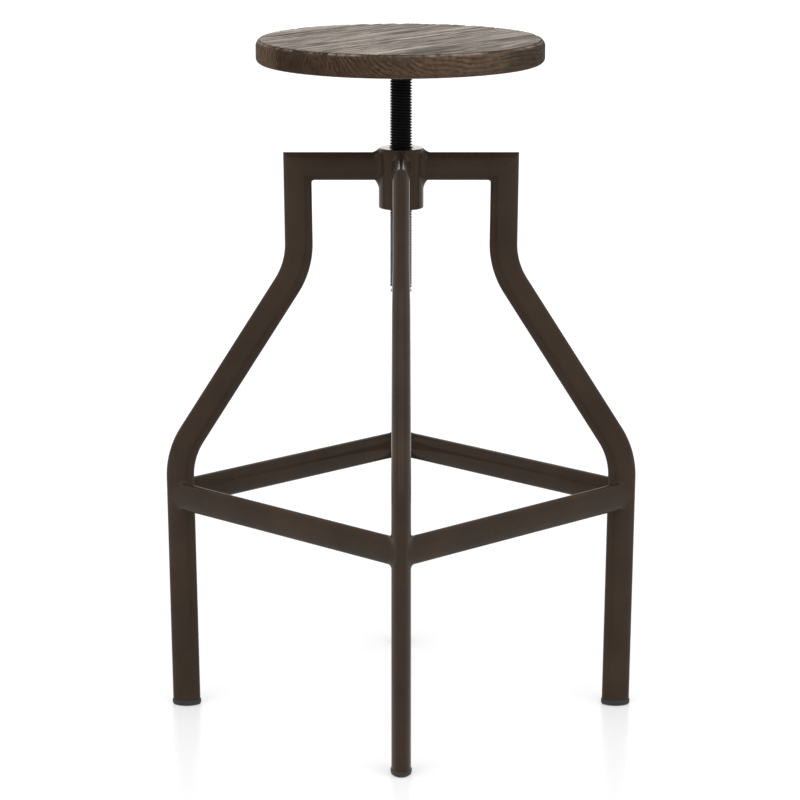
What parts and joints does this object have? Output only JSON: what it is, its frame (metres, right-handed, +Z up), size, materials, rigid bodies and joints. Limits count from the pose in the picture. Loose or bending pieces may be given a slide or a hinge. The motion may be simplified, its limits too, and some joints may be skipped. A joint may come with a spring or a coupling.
{
  "type": "bar stool",
  "caption": "Adjustable bar stool: a round stained-wood seat on a threaded screw in a welded hub, with bent flat-oval tube legs, footrest rails and plastic foot plugs.",
  "frame": {"origin": "on the floor, on the axis of the screw", "axes": "+Z up along the screw; the legs point along X and Y, with the front leg at -Y"},
  "size_m": [0.5098, 0.5098, 0.734],
  "materials": {
    "frame_lacquer": "satin dark bronze lacquer over steel tube",
    "seat_wood": "brushed and dark stained, worn at the edges",
    "screw_steel": "black satin steel",
    "ring_steel": "plain turned steel",
    "zinc_steel": "bright zinc plate",
    "plug_plastic": "moulded black, fine matt texture"
  },
  "bodies": {
    "frame": {"hub": "frame_lacquer", "hub_welds": "frame_lacquer", "arm_front": "frame_lacquer", "arm_left": "frame_lacquer", "arm_rear": "frame_lacquer", "arm_right": "frame_lacquer", "leg_front": "frame_lacquer", "leg_left": "frame_lacquer", "leg_rear": "frame_lacquer", "leg_right": "frame_lacquer", "rail_front_left": "frame_lacquer", "rail_front_right": "frame_lacquer", "rail_rear_left": "frame_lacquer", "rail_rear_right": "frame_lacquer", "rail_welds": "frame_lacquer", "foot_plug_front": "plug_plastic", "foot_plug_left": "plug_plastic", "foot_plug_rear": "plug_plastic", "foot_plug_right": "plug_plastic"},
    "lift": {"screw_stop_ring": "ring_steel"},
    "seat": {"seat_stave_1": "seat_wood", "seat_stave_2": "seat_wood", "seat_stave_3": "seat_wood", "seat_stave_4": "seat_wood", "seat_stave_5": "seat_wood", "seat_plate": "screw_steel", "plate_weld": "screw_steel", "wood_screws": "zinc_steel", "seat_screw": "screw_steel"}
  },
  "joints": [
    {"name": "seat_rise", "type": "slide", "parent": "frame", "child": "lift", "axis": [0, 0, 1], "range_m": [-0.0805, 0.0885]},
    {"name": "seat_turn", "type": "hinge", "parent": "lift", "child": "seat", "pos_m": [0, 0, 0.55], "axis": [0, 0, 1], "range_deg": [-9600, 10560]}
  ],
  "couplings": [
    {"joint": "seat_rise", "follows": "seat_turn", "m_per_rad": 0.00047746}
  ]
}
